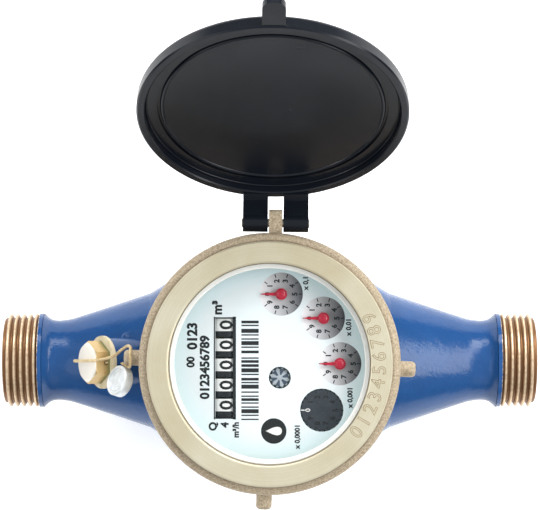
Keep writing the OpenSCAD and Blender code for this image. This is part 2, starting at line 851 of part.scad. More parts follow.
module dial_plate() {
    color("white")
        difference() {
            translate([0, 0, dial_z0])
                cylinder(r = dial_r, h = dial_t);
            translate([drum_x - window_w / 2, drum_y - drum_row / 2, dial_z0 - 1])
                cube([window_w, drum_row, dial_t + 2]);
            translate([star_at[0], star_at[1], dial_z0 - 1])
                cylinder(d = star_window_d, h = dial_t + 2);
            for (i = [0:3])
                translate([small_dial_at[i][0], small_dial_at[i][1], dial_z0 - 1])
                    cylinder(r = i == 0 ? small_dial_r : arbor_r + free_fit, h = dial_t + 2);
        }
}

module bezel_ring() {
    color("white")
        translate([0, 0, can_z1])
            rotate_extrude()
                polygon([[can_r - 0.8, 0], [can_r, 0], [can_r, bezel_z1 - can_z1], [bezel_open_d / 2 + 0.3,
                    bezel_z1 - can_z1], [bezel_open_d / 2, bezel_z1 - can_z1 - 0.3],
                    [bezel_open_d / 2, glass_z1 - can_z1], [can_r - 0.8, glass_z1 - can_z1]]);
}

module dial_glass() {
    color("lightcyan", 0.4)
        translate([0, 0, glass_z0])
            cylinder(r = can_r - 0.8 - seat_fit, h = glass_t);
}

module glass_gasket() {
    color("black")
        translate([0, 0, can_z1])
            difference() {
                cylinder(r = can_r - 0.8 - seat_fit, h = gasket_t);
                translate([0, 0, -1])
                    cylinder(r = can_bore_r - 1, h = gasket_t + 2);
            }
}

module drum_shaft() {
    color("silver")
        translate([drum_x, drum_y, drum_z])
            rotate([90, 0, 0])
                cylinder(r = drum_shaft_r, h = drum_row + 2 * drum_wall_t + 0.6, center = true);
}

// Number drum i, counted from the units at the +Y end
module number_drum(i) {
    width = drum_pitch - drum_gap;
    y = drum_y + ((drum_count + 1) / 2 - i) * drum_pitch;
    color("white")
        translate([drum_x, y, drum_z])
            rotate([90, 0, 0])
                difference() {
                    cylinder(r = drum_r, h = width, center = true);
                    cylinder(r = drum_shaft_r + run_fit, h = width + 2, center = true);
                }
}

// Arbor that turns in the gear plate and reaches up to z1
module arbor(p, z1) {
    translate([p[0], p[1], gear_plate_z0 - 0.4])
        cylinder(r = arbor_r, h = z1 - gear_plate_z0 + 0.4);
    translate([p[0], p[1], gear_plate_z1 + 0.1])
        cylinder(r = arbor_r + 0.6, h = 0.6);
}

// Wheel of z teeth and module m on one level of the train
module gear(p, z, m, level, turn = 0) {
    root = z * m / 2 - tooth_root * m;
    tip = z * m / 2 + tooth_tip * m;
    tooth = [[-tooth_root_w, root], [-tooth_tip_w, tip], [tooth_tip_w, tip], [tooth_root_w, root]];
    translate([p[0], p[1], level_z(level)])
        rotate(turn)
            linear_extrude(gear_t)
                polygon([for (i = [0:z - 1], c = tooth) c[1] * [cos(360 * (i + c[0]) / z), sin(360 * (i + c[0]) / z)]]);
}

module driven_magnet() {
    z0 = can_floor + 0.6;
    color("dimgray") {
        translate([0, 0, z0])
            cylinder(d = magnet_d, h = magnet_h);
        translate([0, 0, z0 + magnet_h - join])
            cylinder(r = arbor_r, h = level_z(0) + gear_t - z0 - magnet_h + join);
        gear([0, 0], pinion_z, star_m, 0);
    }
}

module star_wheel() {
    star_r = star_window_d / 2 - 0.3;
    color("slategray")
        difference() {
            union() {
                arbor(star_at, dial_z0 - 1.4);
                gear(star_at, star_z, star_m, 0, mesh(pinion_z, star_z, heading([0, 0], star_at)));
                gear(star_at, pinion_z, disc_m, 1);
                translate([star_at[0], star_at[1], dial_z0 - 1.6])
                    cylinder(r = star_r, h = 1);
            }
            for (i = [0:star_teeth - 1])
                translate([star_at[0], star_at[1], dial_z0 - 3])
                    rotate(i * 360 / star_teeth)
                        translate([star_r, 0, 0])
                            cylinder(r = star_r * 0.17, h = 4);
        }
}

module reduction_wheel() {
    color("whitesmoke") {
        arbor(reduction_at, dial_z0 - 0.2);
        gear(reduction_at, idler_z, disc_m, 1, mesh(pinion_z, idler_z, heading(star_at, reduction_at)));
        gear(reduction_at, pinion_z, disc_m, 2);
    }
}

// Idler k turns pointer k once for ten turns of the dial before it
module idler(k) {
    p = idler_at(k);
    color("whitesmoke") {
        arbor(p, dial_z0 - 0.2);
        gear(p, idler_z, coarse_m(k), first_mesh_level[k - 1],
            mesh(pinion_z, idler_z, heading(small_dial_at[k - 1], p)));
        gear(p, tenth_pinion_z, fine_m(k), second_mesh_level[k - 1]);
    }
}

module pulse_disc() {
    p = small_dial_at[0];
    color("darkslategray")
        translate([p[0], p[1], dial_z0])
            difference() {
                cylinder(r = small_dial_r - 0.35, h = dial_t + 0.1);
                translate([0, 0, -1])
                    cylinder(r = arbor_r + seat_fit / 2, h = dial_t + 2);
            }
}

module pulse_arbor() {
    p = small_dial_at[0];
    color("silver") {
        arbor(p, dial_z1);
        gear(p, disc_z, disc_m, 2, mesh(pinion_z, disc_z, heading(reduction_at, p)));
        gear(p, pinion_z, coarse_m(1), first_mesh_level[0]);
    }
}

// Pointer k: hub on its arbor and a needle that points to the zero at the left
module pointer(k) {
    p = small_dial_at[k];
    hub_r = 2;
    tip = small_dial_r - 0.5;
    needle_w = 1.6;
    tip_w = 0.3;
    color("crimson")
        translate([p[0], p[1], pointer_z0])
            difference() {
                union() {
                    cylinder(r = hub_r, h = 1.8);
                    translate([0, 0, 0.5])
                        linear_extrude(0.7)
                            polygon([[0, needle_w / 2], [-tip, tip_w / 2], [-tip, -tip_w / 2], [0, -needle_w / 2]]);
                }
                translate([0, 0, -1])
                    cylinder(r = arbor_r + seat_fit / 2, h = 2.2);
            }
}

module pointer_arbor(k) {
    p = small_dial_at[k];
    color("silver") {
        arbor(p, pointer_z0 + 1);
        gear(p, tenth_wheel_z, fine_m(k), second_mesh_level[k - 1],
            mesh(tenth_pinion_z, tenth_wheel_z, heading(idler_at(k), p)));
        if (k < 3)
            gear(p, pinion_z, coarse_m(k + 1), first_mesh_level[k]);
    }
}

body_casting();
chamber_strainer();
chamber_cup();
chamber_cover();
impeller_pivot();
impeller();
impeller_magnet();
pressure_plate();
body_seal_ring();
head_ring();
slip_ring();
hinge_pin();
lid();
regulator_screw();
regulator_oring();
cap_gasket();
regulator_cap();
seal_wire();
seal_button();
register_can();
gear_plate();
plate_posts();
dial_plate();
bezel_ring();
dial_glass();
glass_gasket();
drum_shaft();
number_drum(1);  // number_drum_1
number_drum(2);  // number_drum_2
number_drum(3);  // number_drum_3
number_drum(4);  // number_drum_4
number_drum(5);  // number_drum_5
driven_magnet();
star_wheel();
pulse_disc();
pulse_arbor();
pointer(1);  // pointer_1
pointer(2);  // pointer_2
pointer(3);  // pointer_3
pointer_arbor(1);  // pointer_arbor_1
pointer_arbor(2);  // pointer_arbor_2
pointer_arbor(3);  // pointer_arbor_3
reduction_wheel();
idler(1);  // idler_1
idler(2);  // idler_2
idler(3);  // idler_3
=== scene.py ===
import bpy
import bmesh
import json
import math
from mathutils import Matrix, Vector


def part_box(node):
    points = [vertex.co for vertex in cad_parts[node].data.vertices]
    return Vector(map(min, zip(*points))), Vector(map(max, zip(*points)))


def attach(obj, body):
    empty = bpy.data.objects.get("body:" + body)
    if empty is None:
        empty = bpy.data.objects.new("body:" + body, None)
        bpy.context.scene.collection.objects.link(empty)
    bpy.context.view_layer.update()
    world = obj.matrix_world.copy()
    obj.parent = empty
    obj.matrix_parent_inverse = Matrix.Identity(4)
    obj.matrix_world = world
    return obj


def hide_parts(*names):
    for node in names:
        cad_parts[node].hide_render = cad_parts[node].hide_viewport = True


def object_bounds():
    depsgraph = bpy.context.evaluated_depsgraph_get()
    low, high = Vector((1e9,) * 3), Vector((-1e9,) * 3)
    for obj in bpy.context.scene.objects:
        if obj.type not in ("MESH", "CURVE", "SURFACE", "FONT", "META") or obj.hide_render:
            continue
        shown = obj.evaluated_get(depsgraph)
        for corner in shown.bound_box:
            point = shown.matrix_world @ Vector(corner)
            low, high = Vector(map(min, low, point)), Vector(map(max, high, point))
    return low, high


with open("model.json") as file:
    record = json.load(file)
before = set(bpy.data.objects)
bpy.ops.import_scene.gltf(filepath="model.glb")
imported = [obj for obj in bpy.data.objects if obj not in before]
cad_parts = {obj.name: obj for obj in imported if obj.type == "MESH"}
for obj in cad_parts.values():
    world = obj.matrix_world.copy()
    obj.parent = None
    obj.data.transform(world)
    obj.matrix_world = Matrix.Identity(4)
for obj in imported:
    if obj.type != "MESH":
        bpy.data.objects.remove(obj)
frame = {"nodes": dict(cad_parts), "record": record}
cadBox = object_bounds()
nodes = frame["nodes"]
mounts = {mount["name"]: mount for mount in frame["record"]["mounts"]}
mm = 0.001
pipeZ = mounts["inlet_bore"]["pos_m"][2]
print("frame loaded:", len(nodes), "nodes")


# small helpers for shader trees

def startMaterial(name):
    material = bpy.data.materials.new(name)
    material.use_nodes = True
    tree = material.node_tree
    return material, tree, tree.nodes["Principled BSDF"]


def addNode(tree, kind, values=None, **settings):
    node = tree.nodes.new(kind)
    for key, value in settings.items():
        setattr(node, key, value)
    setInputs(node, values or {})
    return node


def setInputs(node, values):
    for key, value in values.items():
        node.inputs[key].default_value = value


def feed(tree, value, socket):
    # a socket is linked, a plain number or colour is set
    if isinstance(value, bpy.types.NodeSocket):
        tree.links.new(value, socket)
    else:
        socket.default_value = value


def mathOf(tree, operation, first, second=0.0):
    node = addNode(tree, "ShaderNodeMath", operation=operation)
    feed(tree, first, node.inputs[0])
    feed(tree, second, node.inputs[1])
    return node.outputs[0]


def scaled(tree, value, factor):
    return mathOf(tree, "MULTIPLY", value, factor)


def inverse(tree, mask):
    return mathOf(tree, "SUBTRACT", 1.0, mask)


def rangeOf(tree, value, low, high, toLow=0.0, toHigh=1.0, smooth=True):
    node = addNode(tree, "ShaderNodeMapRange", {1: low, 2: high, 3: toLow, 4: toHigh})
    node.interpolation_type = "SMOOTHSTEP" if smooth else "LINEAR"
    feed(tree, value, node.inputs[0])
    return node.outputs[0]


def between(tree, mask, first, second):
    # first where the mask is 0 and second where it is 1
    return rangeOf(tree, mask, 0, 1, first, second)


def mixOf(tree, factor, first, second):
    node = addNode(tree, "ShaderNodeMix", data_type="RGBA")
    feed(tree, factor, node.inputs[0])
    feed(tree, first, node.inputs[6])
    feed(tree, second, node.inputs[7])
    return node.outputs[2]


def coordsOf(tree, offset=(0, 0, 0)):
    # object coordinates, shifted so that a pattern sits on its piece
    coords = addNode(tree, "ShaderNodeTexCoord").outputs["Object"]
    if any(offset):
        mapping = addNode(tree, "ShaderNodeMapping", {"Location": offset})
        tree.links.new(coords, mapping.inputs["Vector"])
        coords = mapping.outputs["Vector"]
    return coords


def axesOf(tree, coords):
    split = addNode(tree, "ShaderNodeSeparateXYZ")
    tree.links.new(coords, split.inputs[0])
    return split.outputs


def lengthOf(tree, first, second):
    squares = mathOf(tree, "ADD", scaled(tree, first, first), scaled(tree, second, second))
    return mathOf(tree, "SQRT", squares)


def bump(tree, shader, height, strength, depth):
    node = addNode(tree, "ShaderNodeBump", {"Strength": strength, "Distance": depth})
    feed(tree, height, node.inputs["Height"])
    tree.links.new(node.outputs["Normal"], shader.inputs["Normal"])


def colour(red, green, blue):
    # screen colour from 0 to 255, as the linear colour that shaders take
    def linear(value):
        value /= 255
        return value / 12.92 if value <= 0.04045 else ((value + 0.055) / 1.055) ** 2.4
    return (linear(red), linear(green), linear(blue), 1.0)


# shared surface effects

def startGroup(name, inputs, outputs):
    group = bpy.data.node_groups.new(name, "ShaderNodeTree")
    addSocket = group.interface.new_socket
    for socketName, value in inputs.items():
        socket = addSocket(name=socketName, in_out="INPUT", socket_type="NodeSocketFloat")
        socket.default_value = value
    for socketName in outputs:
        addSocket(name=socketName, in_out="OUTPUT", socket_type="NodeSocketFloat")
    return group, group.nodes.new("NodeGroupInput"), group.nodes.new("NodeGroupOutput")


def placeGroup(tree, group, **values):
    node = addNode(tree, "ShaderNodeGroup", node_tree=group)
    for key, value in values.items():
        feed(tree, value, node.inputs[key])
    return node.outputs


def makeSpeckle():
    # soft blotches: the mask is 1 where the noise is above High and 0 below Low
    inputs = {"Scale": 200.0, "Low": 0.45, "High": 0.6}
    group, given, result = startGroup("speckle", inputs, ["Mask"])
    noise = addNode(group, "ShaderNodeTexNoise", {"Detail": 5.0, "Roughness": 0.6})
    group.links.new(coordsOf(group), noise.inputs["Vector"])
    group.links.new(given.outputs["Scale"], noise.inputs["Scale"])
    fade = addNode(group, "ShaderNodeMapRange")
    group.links.new(noise.outputs["Fac"], fade.inputs[0])
    group.links.new(given.outputs["Low"], fade.inputs[1])
    group.links.new(given.outputs["High"], fade.inputs[2])
    group.links.new(fade.outputs[0], result.inputs["Mask"])
    return group


def makeCastSkin():
    # sand-cast skin: rolling lumps with finer grain on top
    inputs = {"Lumps": 300.0, "Grain": 1600.0, "GrainShare": 0.35}
    group, given, result = startGroup("castSkin", inputs, ["Height"])
    lumps = addNode(group, "ShaderNodeTexNoise", {"Detail": 3.0})
    grain = addNode(group, "ShaderNodeTexNoise", {"Detail": 2.0})
    coords = coordsOf(group)
    for noise, key in ((lumps, "Lumps"), (grain, "Grain")):
        group.links.new(coords, noise.inputs["Vector"])
        group.links.new(given.outputs[key], noise.inputs["Scale"])
    share = scaled(group, grain.outputs["Fac"], given.outputs["GrainShare"])
    group.links.new(mathOf(group, "ADD", lumps.outputs["Fac"], share), result.inputs["Height"])
    return group


def makeTurnedLines():
    # fine rings left by turning about the head's axis
    group, given, result = startGroup("turnedLines", {"Scale": 3000.0}, ["Mask"])
    x, y, z = axesOf(group, coordsOf(group))
    radius = scaled(group, lengthOf(group, x, y), given.outputs["Scale"])
    noise = addNode(group, "ShaderNodeTexNoise", {"Scale": 1.0, "Detail": 3.0}, noise_dimensions="1D")
    group.links.new(radius, noise.inputs["W"])
    group.links.new(noise.outputs["Fac"], result.inputs["Mask"])
    return group


speckle = makeSpeckle()
castSkin = makeCastSkin()
turnedLines = makeTurnedLines()


def blotches(tree, scale, low, high):
    return placeGroup(tree, speckle, Scale=scale, Low=low, High=high)["Mask"]


def skinHeight(tree, lumps, grain, grainShare):
    return placeGroup(tree, castSkin, Lumps=lumps, Grain=grain, GrainShare=grainShare)["Height"]


print("shared effects ready")


# materials

bodyLook = {
    "paint": colour(38, 82, 138), "paintDeep": colour(20, 52, 96), "deepShare": 0.35,
    "threadCrest": colour(230, 206, 174), "threadRoot": colour(130, 93, 62), "stainShare": 0.4,
    "bareLength": 12.4 * mm, "ragged": 0.4 * mm, "paintEdge": 0.2 * mm,
    "boreRadius": 13.0 * mm, "rootRadius": 15.2 * mm, "crestRadius": 16.5 * mm,
    "paintRoughness": 0.08, "brassRoughness": 0.42, "brassMetallic": 0.75, "specular": 0.28,
    "peelStrength": 0.36, "peelDepth": 0.3 * mm,
}


def bodyMaterial(look):
    material, tree, shader = startMaterial("bluePaintOverBrass")
    threadStart = cadBox[1][0] - look["bareLength"]
    x, y, z = axesOf(tree, coordsOf(tree))
    ragged = scaled(tree, blotches(tree, 900.0, 0.3, 0.7), look["ragged"])
    along = mathOf(tree, "ADD", mathOf(tree, "ABSOLUTE", x), ragged)
    radius = lengthOf(tree, y, mathOf(tree, "SUBTRACT", z, pipeZ))
    inBore = rangeOf(tree, radius, look["boreRadius"] + look["paintEdge"], look["boreRadius"])
    onThread = rangeOf(tree, along, threadStart, threadStart + look["paintEdge"])
    bare = mathOf(tree, "MAXIMUM", onThread, inBore)
    patches = scaled(tree, blotches(tree, 55.0, 0.35, 0.7), look["deepShare"])
    paint = mixOf(tree, patches, look["paint"], look["paintDeep"])
    # painted shade: the thread is painted darker towards its roots and lighter at its crests, for the
    # shade in its valleys
    crest = rangeOf(tree, radius, look["rootRadius"], look["crestRadius"])
    brass = mixOf(tree, crest, look["threadRoot"], look["threadCrest"])
    stain = scaled(tree, blotches(tree, 700.0, 0.42, 0.66), look["stainShare"])
    brass = mixOf(tree, stain, brass, look["threadRoot"])
    feed(tree, mixOf(tree, bare, paint, brass), shader.inputs["Base Color"])
    feed(tree, scaled(tree, bare, look["brassMetallic"]), shader.inputs["Metallic"])
    roughness = between(tree, bare, look["paintRoughness"], look["brassRoughness"])
    feed(tree, roughness, shader.inputs["Roughness"])
    setInputs(shader, {"Specular IOR Level": look["specular"]})
    peel = skinHeight(tree, 450.0, 1500.0, 0.7)
    bump(tree, shader, peel, look["peelStrength"], look["peelDepth"])
    return material


ringLook = {
    "face": colour(206, 200, 178), "faceDark": colour(178, 162, 124), "broadShare": 0.5, "lineShare": 0.3,
    "cast": colour(196, 180, 154), "castDark": colour(108, 88, 64), "pitShare": 0.7,
    "faceRadius": 42.1 * mm, "edgeWidth": 0.3 * mm, "castDepth": (1.6 * mm, 2.4 * mm),
    "boreFade": (35.2 * mm, 34.6 * mm), "innerRadius": 34.3 * mm,
    # painted shade: a dark line along the turned face's edges, for the shadow in the groove and the gap
    # there
    "edgeShade": colour(96, 74, 48), "edgeShadeWidth": 0.32 * mm, "edgeShadeShare": 0.75, "lineHeight": 0.05,
    "faceMetallic": 0.45, "castMetallic": 0.35, "faceRoughness": 0.42, "castRoughness": 0.6,
}


def ringMaterial(look, faceZ):
    material, tree, shader = startMaterial("ringBrass")
    x, y, z = axesOf(tree, coordsOf(tree))
    radius = lengthOf(tree, x, y)
    faceRadius, edgeWidth = look["faceRadius"], look["edgeWidth"]
    outside = rangeOf(tree, radius, faceRadius - edgeWidth, faceRadius + edgeWidth)
    low = rangeOf(tree, z, faceZ - look["castDepth"][0], faceZ - look["castDepth"][1])
    inside = rangeOf(tree, radius, *look["boreFade"])
    cast = mathOf(tree, "MAXIMUM", outside, scaled(tree, low, inverse(tree, inside)))
    lines = placeGroup(tree, turnedLines, Scale=3500.0)["Mask"]
    broad = scaled(tree, blotches(tree, 45.0, 0.35, 0.7), look["broadShare"])
    face = mixOf(tree, broad, look["face"], look["faceDark"])
    lineShade = rangeOf(tree, lines, 0.35, 0.7, 0.0, look["lineShare"])
    face = mixOf(tree, lineShade, face, look["faceDark"])
    pits = scaled(tree, blotches(tree, 1600.0, 0.36, 0.68), look["pitShare"])
    rough = mixOf(tree, pits, look["cast"], look["castDark"])
    skinColour = mixOf(tree, cast, face, rough)
    for edge in (faceRadius, look["innerRadius"]):
        # painted shade: a dark line along both edges of the turned face, for the shadow in the groove at
        # its rim and in the gap at its bore
        away = mathOf(tree, "ABSOLUTE", mathOf(tree, "SUBTRACT", radius, edge))
        edgeShade = rangeOf(tree, away, 0.0, look["edgeShadeWidth"], look["edgeShadeShare"], 0.0)
        skinColour = mixOf(tree, edgeShade, skinColour, look["edgeShade"])
    feed(tree, skinColour, shader.inputs["Base Color"])
    metallic = between(tree, cast, look["faceMetallic"], look["castMetallic"])
    feed(tree, metallic, shader.inputs["Metallic"])
    roughness = between(tree, cast, look["faceRoughness"], look["castRoughness"])
    feed(tree, roughness, shader.inputs["Roughness"])
    lumps = scaled(tree, skinHeight(tree, 900.0, 2600.0, 0.6), cast)
    grooves = scaled(tree, lines, scaled(tree, inverse(tree, cast), look["lineHeight"]))
    bump(tree, shader, mathOf(tree, "ADD", lumps, grooves), 0.6, 0.4 * mm)
    return material


lidLook = {
    "black": colour(19, 23, 30), "dust": colour(50, 55, 60), "dustShare": 0.15,
    "roughness": (0.2, 0.28), "specular": 0.26,
}


def lidMaterial(look):
    material, tree, shader = startMaterial("lidPlastic")
    dust = scaled(tree, blotches(tree, 1400.0, 0.62, 0.8), look["dustShare"])
    feed(tree, mixOf(tree, dust, look["black"], look["dust"]), shader.inputs["Base Color"])
    patches = blotches(tree, 60.0, 0.3, 0.75)
    feed(tree, between(tree, patches, *look["roughness"]), shader.inputs["Roughness"])
    setInputs(shader, {"Specular IOR Level": look["specular"]})
    bump(tree, shader, skinHeight(tree, 900.0, 4000.0, 0.6), 0.08, 0.1 * mm)
    return material


capLook = {
    "face": colour(240, 236, 226), "side": colour(194, 166, 116), "patina": colour(120, 140, 105),
    "origin": (-58.0 * mm, 0.0, 61.2 * mm), "tilt": math.radians(58),
    "faceHeight": 6.85 * mm, "faceEdge": 0.4 * mm,
    "patinaHeight": 2.6 * mm, "patinaFull": 0.6 * mm, "patinaRagged": -1.2 * mm, "patinaShare": 0.75,
    "sideMetallic": 0.75, "faceMetallic": 0.3, "roughness": (0.3, 0.48),
}


def capMaterial(look):
    # a hexagon whose bright turned face stands on tarnished flats
    material, tree, shader = startMaterial("capBrass")
    shift = addNode(tree, "ShaderNodeVectorMath", operation="SUBTRACT")
    tree.links.new(coordsOf(tree), shift.inputs[0])
    shift.inputs[1].default_value = look["origin"]
    x, y, z = axesOf(tree, shift.outputs[0])
    up = mathOf(tree, "ADD", scaled(tree, x, -math.sin(look["tilt"])),
                scaled(tree, z, math.cos(look["tilt"])))
    blotch = blotches(tree, 420.0, 0.38, 0.66)
    ragged = mathOf(tree, "ADD", up, scaled(tree, blotch, look["patinaRagged"]))
    low = rangeOf(tree, ragged, look["patinaHeight"], look["patinaFull"])
    side = mixOf(tree, scaled(tree, low, look["patinaShare"]), look["side"], look["patina"])
    onFace = rangeOf(tree, up, look["faceHeight"] - look["faceEdge"], look["faceHeight"])
    feed(tree, mixOf(tree, onFace, side, look["face"]), shader.inputs["Base Color"])
    metallic = between(tree, onFace, look["sideMetallic"], look["faceMetallic"])
    feed(tree, metallic, shader.inputs["Metallic"])
    feed(tree, between(tree, blotch, *look["roughness"]), shader.inputs["Roughness"])
    bump(tree, shader, skinHeight(tree, 700.0, 2600.0, 0.6), 0.25, 0.2 * mm)
    return material


def plainMaterial(name, base, cloud, scale, share, roughness, metallic=0.0,
                  skinDepth=0.1 * mm, skinScale=900.0, strength=0.15):
    # one base colour that a second colour clouds, with a light skin
    material, tree, shader = startMaterial(name)
    clouds = blotches(tree, scale, 0.4, 0.68)
    mixed = mixOf(tree, scaled(tree, clouds, share), colour(*base), colour(*cloud))
    feed(tree, mixed, shader.inputs["Base Color"])
    feed(tree, between(tree, clouds, roughness, roughness + 0.08), shader.inputs["Roughness"])
    setInputs(shader, {"Metallic": metallic})
    bump(tree, shader, skinHeight(tree, skinScale, skinScale * 4, 0.5), strength, skinDepth)
    return material


dialLook = {
    "white": colour(232, 240, 242), "cloud": colour(222, 234, 238), "cloudShare": 0.3,
    "edge": colour(216, 240, 245), "edgeStart": 0.72, "roughness": 0.55,
    "glow": colour(200, 234, 240), "middlePaintedGlow": 1 / 8, "paintedGlowStrength": 0.16,
}


def dialMaterial(look, radius):
    # white print ground that turns a little blue towards its edge, with painted tint and painted light
    # there
    material, tree, shader = startMaterial("dialGround")
    x, y, z = axesOf(tree, coordsOf(tree))
    # painted shade: the blue towards the edge stands for the tint of the glass's edge and the shade under
    # the bezel
    edge = rangeOf(tree, lengthOf(tree, x, y), radius * look["edgeStart"], radius)
    clouds = scaled(tree, blotches(tree, 70.0, 0.35, 0.7), look["cloudShare"])
    white = mixOf(tree, clouds, look["white"], look["cloud"])
    feed(tree, mixOf(tree, edge, white, look["edge"]), shader.inputs["Base Color"])
    # painted light: the ground glows, faintly in the middle and more at its edge, to lift the shade that
    # the bezel and glass cast on it
    faint = tuple(value * look["middlePaintedGlow"] for value in look["glow"][:3]) + (1.0,)
    feed(tree, mixOf(tree, edge, faint, look["glow"]), shader.inputs["Emission Color"])
    setInputs(shader, {"Emission Strength": look["paintedGlowStrength"], "Roughness": look["roughness"]})
    return material


drumLook = {
    "white": colour(240, 241, 238), "rim": colour(18, 20, 24), "whiteWidth": 4.3 * mm, "edge": 0.01,
    "roughness": 0.45,
}


def drumMaterial(look, firstEdge, pitch):
    # white digit band with a black carry rim, repeated along the row of drums
    material, tree, shader = startMaterial("drumPlastic")
    x, y, z = axesOf(tree, coordsOf(tree))
    whiteShare = look["whiteWidth"] / pitch
    run = mathOf(tree, "DIVIDE", mathOf(tree, "SUBTRACT", firstEdge, y), pitch)
    step = mathOf(tree, "FRACT", run)
    dark = rangeOf(tree, step, whiteShare - look["edge"], whiteShare + look["edge"])
    feed(tree, mixOf(tree, dark, look["white"], look["rim"]), shader.inputs["Base Color"])
    setInputs(shader, {"Roughness": look["roughness"]})
    bump(tree, shader, skinHeight(tree, 1500.0, 5000.0, 0.5), 0.08, 0.1 * mm)
    return material


def glassMaterial():
    material, tree, shader = startMaterial("clearGlass")
    smudge = blotches(tree, 60.0, 0.4, 0.7)
    feed(tree, between(tree, smudge, 0.02, 0.06), shader.inputs["Roughness"])
    setInputs(shader, {"Base Color": (0.02, 0.05, 0.05, 1), "Specular IOR Level": 0.25, "Alpha": 0.05})
    return material


plainLooks = {
    "paleGasket": dict(base=(222, 210, 178), cloud=(186, 168, 128), scale=380, share=0.6, roughness=0.6),
    "wireMetal": dict(base=(226, 206, 164), cloud=(150, 124, 84), scale=900, share=0.6, roughness=0.35,
                      metallic=0.6),
    "drawnSteel": dict(base=(196, 190, 180), cloud=(140, 132, 120), scale=500, share=0.5, roughness=0.3,
                       metallic=0.9),
    "sealMetal": dict(base=(226, 230, 232), cloud=(178, 178, 172), scale=420, share=0.45, roughness=0.32,
                      metallic=0.3, skinDepth=0.2 * mm, skinScale=700.0, strength=0.3),
    "whitePlastic": dict(base=(246, 246, 242), cloud=(228, 228, 222), scale=160, share=0.4,
                         roughness=0.35),
    "impellerPlastic": dict(base=(222, 150, 60), cloud=(196, 126, 44), scale=160, share=0.5,
                            roughness=0.4),
    "ferrite": dict(base=(52, 52, 54), cloud=(34, 34, 36), scale=600, share=0.6, roughness=0.55),
    "plateGrey": dict(base=(150, 154, 156), cloud=(128, 132, 135), scale=160, share=0.5, roughness=0.35),
    "blackRubber": dict(base=(28, 28, 29), cloud=(44, 44, 44), scale=500, share=0.4, roughness=0.6),
    "canBrass": dict(base=(200, 160, 98), cloud=(160, 120, 70), scale=140, share=0.5, roughness=0.3,
                     metallic=0.85),
    "starGrey": dict(base=(172, 180, 186), cloud=(140, 148, 156), scale=400, share=0.5, roughness=0.35),
    "bladeBlue": dict(base=(70, 82, 98), cloud=(44, 54, 68), scale=400, share=0.5, roughness=0.35),
    "stampBrass": dict(base=(150, 128, 92), cloud=(112, 90, 58), scale=300, share=0.6, roughness=0.5,
                       metallic=0.3),
    "discGrey": dict(base=(48, 54, 62), cloud=(36, 41, 48), scale=220, share=0.6, roughness=0.5),
    "pointerCrimson": dict(base=(188, 22, 56), cloud=(150, 12, 38), scale=420, share=0.5, roughness=0.28),
    "inkBlack": dict(base=(14, 14, 16), cloud=(26, 26, 28), scale=900, share=0.5, roughness=0.5),
    "inkWhite": dict(base=(240, 240, 238), cloud=(220, 220, 218), scale=900, share=0.5, roughness=0.5),
}
plainNodes = {
    "paleGasket": ["cap_gasket"],
    "drawnSteel": ["hinge_pin", "impeller_pivot", "drum_shaft", "pointer_arbor_1", "pointer_arbor_2",
                   "pointer_arbor_3"],
    "sealMetal": ["seal_button", "seal_wire"],
    "whitePlastic": ["bezel_ring", "slip_ring", "chamber_strainer", "chamber_cup", "chamber_cover",
                     "gear_plate", "reduction_wheel", "idler_1", "idler_2", "idler_3"],
    "impellerPlastic": ["impeller"],
    "ferrite": ["impeller_magnet", "driven_magnet"],
    "plateGrey": ["pressure_plate"],
    "blackRubber": ["body_seal_ring", "regulator_oring", "glass_gasket"],
    "canBrass": ["register_can", "plate_posts", "regulator_screw"],
    "starGrey": ["star_wheel"],
    "discGrey": ["pulse_disc", "pulse_arbor"],
    "pointerCrimson": ["pointer_1", "pointer_2", "pointer_3"],
}


def paintNode(material, *names):
    for name in names:
        slots = nodes[name].data.materials
        if slots:
            slots[0] = material
        else:
            slots.append(material)


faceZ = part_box("head_ring")[1][2]
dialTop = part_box("dial_plate")[1][2]
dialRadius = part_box("dial_plate")[1][0]
drumNames = ["number_drum_%d" % (i + 1) for i in range(5)]
drumBoxes = [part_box(name) for name in drumNames]
drumPitch = drumBoxes[0][0][1] - drumBoxes[1][0][1]

plain = {name: plainMaterial(name, **look) for name, look in plainLooks.items()}
for name, painted in plainNodes.items():
    paintNode(plain[name], *painted)
blueOverBrass = bodyMaterial(bodyLook)
lidBlack = lidMaterial(lidLook)
dialGround = dialMaterial(dialLook, dialRadius)
paintNode(blueOverBrass, "body_casting")
paintNode(ringMaterial(ringLook, faceZ), "head_ring")
paintNode(lidBlack, "lid")
paintNode(capMaterial(capLook), "regulator_cap")
paintNode(dialGround, "dial_plate")
paintNode(drumMaterial(drumLook, drumBoxes[0][1][1], drumPitch), *drumNames)
paintNode(glassMaterial(), "dial_glass")
print("materials assigned")


# tools for the pieces

printDepth = 0.04 * mm
inkZ = dialTop + printDepth  # middle of the ink that lies over the ground layer
capitalShare = 0.73  # a capital's height as a share of the font's size
sharpAngle = math.radians(50)


def addCurve(bm, curve, place):
    # the curve as a mesh, put in its place and added to the bmesh
    holder = bpy.data.objects.new(curve.name, curve)
    bpy.context.scene.collection.objects.link(holder)
    graph = bpy.context.evaluated_depsgraph_get()
    mesh = bpy.data.meshes.new_from_object(holder.evaluated_get(graph))
    mesh.transform(place)
    bm.from_mesh(mesh)
    bpy.data.objects.remove(holder)
    bpy.data.curves.remove(curve)
    bpy.data.meshes.remove(mesh)


def flatPlace(centre, turn, z):
    return Matrix.Translation((centre[0], centre[1], z)) @ Matrix.Rotation(turn, 4, "Z")


